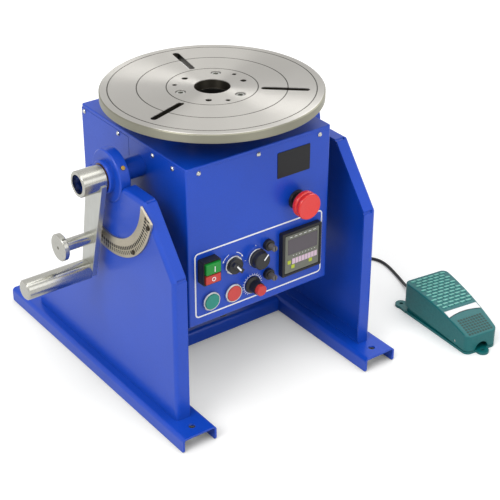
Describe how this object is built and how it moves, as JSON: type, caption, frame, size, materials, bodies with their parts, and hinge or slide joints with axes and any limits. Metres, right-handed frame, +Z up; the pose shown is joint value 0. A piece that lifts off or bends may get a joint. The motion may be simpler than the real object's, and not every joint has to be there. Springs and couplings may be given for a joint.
{
  "type": "welding positioner",
  "caption": "Bench welding positioner: slotted round table on a geared spindle in a box that tilts between two side frames, with index lever, control panel and foot pedal.",
  "frame": {"origin": "centre of the table's bore at the table's top face, with the head at zero tilt", "axes": "+X along the tilt axis away from the tilt lever, +Y to the rear (the control panel faces -Y), +Z up along the table's axis"},
  "size_m": [0.6804, 0.5748, 0.435],
  "materials": {
    "base_paint": "gloss",
    "head_paint": "gloss",
    "turned_steel": "satin, turned",
    "chrome": "polished",
    "index_steel": "satin",
    "screw_steel": "bright zinc",
    "black_screw": "black oxide",
    "bearing_steel": "ground",
    "bronze": "oiled",
    "cast_housing": "machined",
    "gear_steel": "oiled",
    "bracket_steel": "satin",
    "gearbox": "cast",
    "motor": "satin",
    "board": "lacquered",
    "black_plastic": "moulded",
    "bezel_chrome": "satin",
    "estop_yellow": "moulded",
    "red_plastic": "moulded",
    "green_plastic": "moulded",
    "grey_plastic": "moulded",
    "pedal_green": "satin",
    "spring_steel": "drawn",
    "lead_rubber": "matte"
  },
  "bodies": {
    "base": {"feet": "base_paint", "cross_member": "base_paint", "left_side_frame": "base_paint", "right_side_frame": "base_paint", "bearing_housings": "base_paint", "bearing_bushes": "bronze", "frame_screws": "screw_steel", "index_plate": "index_steel", "lead_glands": "black_plastic", "pedal_lead_inner": "lead_rubber", "pedal_lead_coil": "lead_rubber", "pedal_lead_outer": "lead_rubber", "pedal_base": "pedal_green", "pedal_hinge_pin": "chrome", "pedal_spring": "spring_steel", "pedal_switch": "black_plastic"},
    "tread": {"pedal_tread": "pedal_green"},
    "head": {"head_shell": "head_paint", "top_cover": "head_paint", "left_access_cover": "head_paint", "rear_cover": "head_paint", "head_screws": "screw_steel", "connectors": "black_plastic", "trunnions": "head_paint", "shaft_collars": "chrome", "tilt_lever": "chrome", "tilt_grip": "chrome", "plunger_barrel": "chrome", "spindle_housing": "cast_housing", "bearing_outer_rings": "bearing_steel", "drive_bracket": "bracket_steel", "worm_gearbox": "gearbox", "drive_motor": "motor", "earth_brush": "bronze", "speed_controller": "board", "counter_module": "black_plastic", "power_switch_housing": "black_plastic", "device_housings": "bezel_chrome", "speed_potentiometer": "black_plastic", "estop_housing": "estop_yellow", "fuse_holders": "black_plastic"},
    "index_plunger": {"index_pin": "chrome"},
    "turntable": {"table": "turned_steel", "table_screws": "black_screw", "spindle": "turned_steel", "bearing_inner_rings": "bearing_steel", "spindle_gear": "gear_steel", "spindle_nut": "gear_steel"},
    "pinion": {"drive_pinion": "gear_steel"},
    "on_button": {"power_on_button": "green_plastic"},
    "off_button": {"power_off_button": "red_plastic"},
    "start": {"start_button": "green_plastic"},
    "stop": {"stop_button": "red_plastic"},
    "direction_selector": {"direction_knob": "black_plastic"},
    "mode_selector": {"mode_knob": "black_plastic"},
    "speed_dial": {"speed_knob": "black_plastic"},
    "stop_plunger": {"estop_stem": "grey_plastic"},
    "stop_mushroom": {"estop_head": "red_plastic"},
    "upper_cap": {"upper_fuse_cap": "grey_plastic"},
    "lower_cap": {"lower_fuse_cap": "grey_plastic"}
  },
  "joints": [
    {"name": "head_tilt", "type": "hinge", "parent": "base", "child": "head", "pos_m": [0, 0, -0.088], "axis": [-1, 0, 0], "range_deg": [0, 90]},
    {"name": "table_spin", "type": "hinge", "parent": "head", "child": "turntable", "pos_m": [0, 0, -0.014], "axis": [0, 0, 1], "continuous": true},
    {"name": "pinion_spin", "type": "hinge", "parent": "head", "child": "pinion", "pos_m": [0, 0.0761, -0.123], "axis": [0, 0, 1], "continuous": true},
    {"name": "index_pin_pull", "type": "slide", "parent": "head", "child": "index_plunger", "axis": [-1, 0, 0], "range_m": [0, 0.01], "stiffness_N_per_m": 900, "springref_m": -0.006},
    {"name": "pedal_press", "type": "hinge", "parent": "base", "child": "tread", "pos_m": [0.28446, -0.22855, -0.423], "axis": [-0.9925, 0.1219, 0], "range_deg": [0, 4], "stiffness_Nm_per_rad": 12, "springref_deg": -6.88, "deforming": ["pedal_spring"]},
    {"name": "power_on_press", "type": "slide", "parent": "head", "child": "on_button", "axis": [0, 1, 0], "range_m": [0, 0.003], "stiffness_N_per_m": 600, "springref_m": -0.002},
    {"name": "power_off_press", "type": "slide", "parent": "head", "child": "off_button", "axis": [0, 1, 0], "range_m": [0, 0.003], "stiffness_N_per_m": 600, "springref_m": -0.002},
    {"name": "start_press", "type": "slide", "parent": "head", "child": "start", "axis": [0, 1, 0], "range_m": [0, 0.003], "stiffness_N_per_m": 600, "springref_m": -0.002},
    {"name": "stop_press", "type": "slide", "parent": "head", "child": "stop", "axis": [0, 1, 0], "range_m": [0, 0.003], "stiffness_N_per_m": 600, "springref_m": -0.002},
    {"name": "direction_turn", "type": "hinge", "parent": "head", "child": "direction_selector", "pos_m": [-0.048, -0.115, -0.22], "axis": [0, 1, 0], "range_deg": [0, 90]},
    {"name": "mode_turn", "type": "hinge", "parent": "head", "child": "mode_selector", "pos_m": [-0.0075, -0.115, -0.222], "axis": [0, 1, 0], "range_deg": [-90, 0]},
    {"name": "speed_turn", "type": "hinge", "parent": "head", "child": "speed_dial", "pos_m": [-0.0136, -0.115, -0.2654], "axis": [0, 1, 0], "range_deg": [-150, 150]},
    {"name": "emergency_stop_push", "type": "slide", "parent": "head", "child": "stop_plunger", "axis": [0, 1, 0], "range_m": [0, 0.006]},
    {"name": "emergency_stop_twist", "type": "hinge", "parent": "stop_plunger", "child": "stop_mushroom", "pos_m": [0.065, -0.115, -0.151], "axis": [0, 1, 0], "range_deg": [0, 45], "stiffness_Nm_per_rad": 0.1},
    {"name": "upper_fuse_turn", "type": "hinge", "parent": "head", "child": "upper_cap", "pos_m": [0.0135, -0.115, -0.208], "axis": [0, 1, 0], "range_deg": [-60, 0]},
    {"name": "lower_fuse_turn", "type": "hinge", "parent": "head", "child": "lower_cap", "pos_m": [0.014, -0.115, -0.2565], "axis": [0, 1, 0], "range_deg": [-60, 0]}
  ],
  "couplings": [
    {"joint": "pinion_spin", "follows": "table_spin", "ratio": -3.75}
  ]
}
